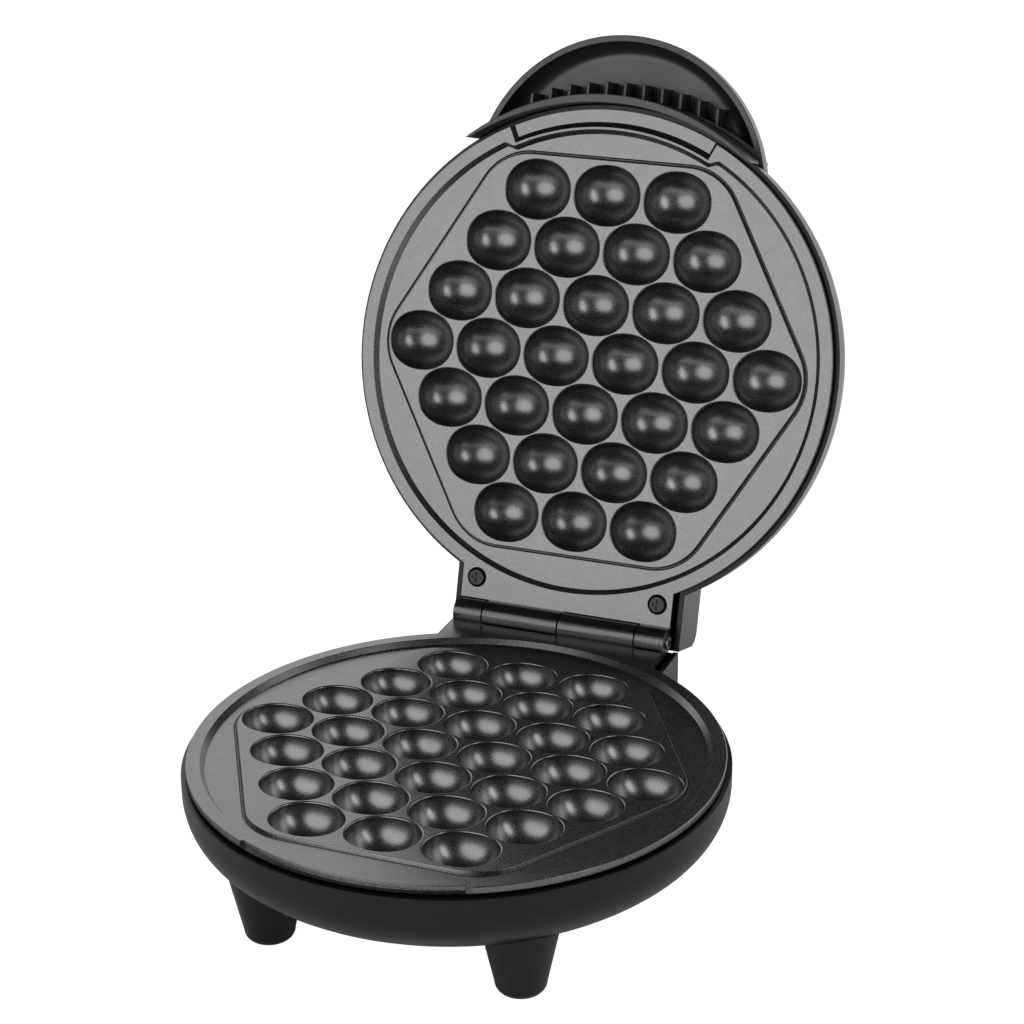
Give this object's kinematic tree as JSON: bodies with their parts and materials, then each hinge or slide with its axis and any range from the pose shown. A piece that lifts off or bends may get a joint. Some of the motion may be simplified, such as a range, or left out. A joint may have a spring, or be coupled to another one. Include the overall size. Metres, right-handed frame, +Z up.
{
  "type": "egg waffle maker",
  "caption": "Electric egg-waffle maker standing open: two round hinged cast plates with egg-shaped cavities, black housings, a half-moon handle and conical feet.",
  "frame": {"origin": "on the standing surface, below the middle of the open appliance's bounding box", "axes": "+Z up, +Y from the front towards the hinge, +X to the right seen from the front"},
  "size_m": [0.207, 0.3085, 0.2867],
  "materials": {
    "housing_plastic": "satin",
    "coated_plate": "dark grey non-stick coating",
    "handle_plastic": "satin",
    "plated_steel": "zinc plated",
    "heater_steel": "sheathed tube",
    "shield_aluminium": "plain sheet",
    "ceramic": "glazed",
    "lead_sleeve": "woven sleeve",
    "amber_lens": "clear tinted",
    "green_lens": "clear tinted",
    "lamp_glass": "clear"
  },
  "bodies": {
    "base": {"lower_housing": "housing_plastic", "front_left_foot": "housing_plastic", "front_right_foot": "housing_plastic", "rear_left_foot": "housing_plastic", "rear_right_foot": "housing_plastic", "foot_screws": "plated_steel", "lower_plate": "coated_plate", "lower_heater": "heater_steel", "lower_heat_shield": "shield_aluminium", "lower_shield_screws": "plated_steel", "lower_plate_screws": "plated_steel", "terminal_block": "ceramic", "cord_gland": "housing_plastic", "mains_leads": "lead_sleeve", "hinge_pin": "plated_steel", "hollow_hinge_pin": "plated_steel"},
    "lid": {"upper_housing": "housing_plastic", "handle": "handle_plastic", "handle_screws": "plated_steel", "upper_plate": "coated_plate", "upper_heater": "heater_steel", "upper_heat_shield": "shield_aluminium", "upper_shield_screws": "plated_steel", "upper_plate_screws": "plated_steel", "thermostat": "ceramic", "thermal_fuse": "lead_sleeve", "power_lens": "amber_lens", "ready_lens": "green_lens", "indicator_lamps": "lamp_glass", "lid_leads": "lead_sleeve"}
  },
  "joints": [
    {"name": "lid_hinge", "type": "hinge", "parent": "base", "child": "lid", "pos_m": [0, 0.05935, 0.059], "axis": [1, 0, 0], "range_deg": [0, 107]}
  ]
}
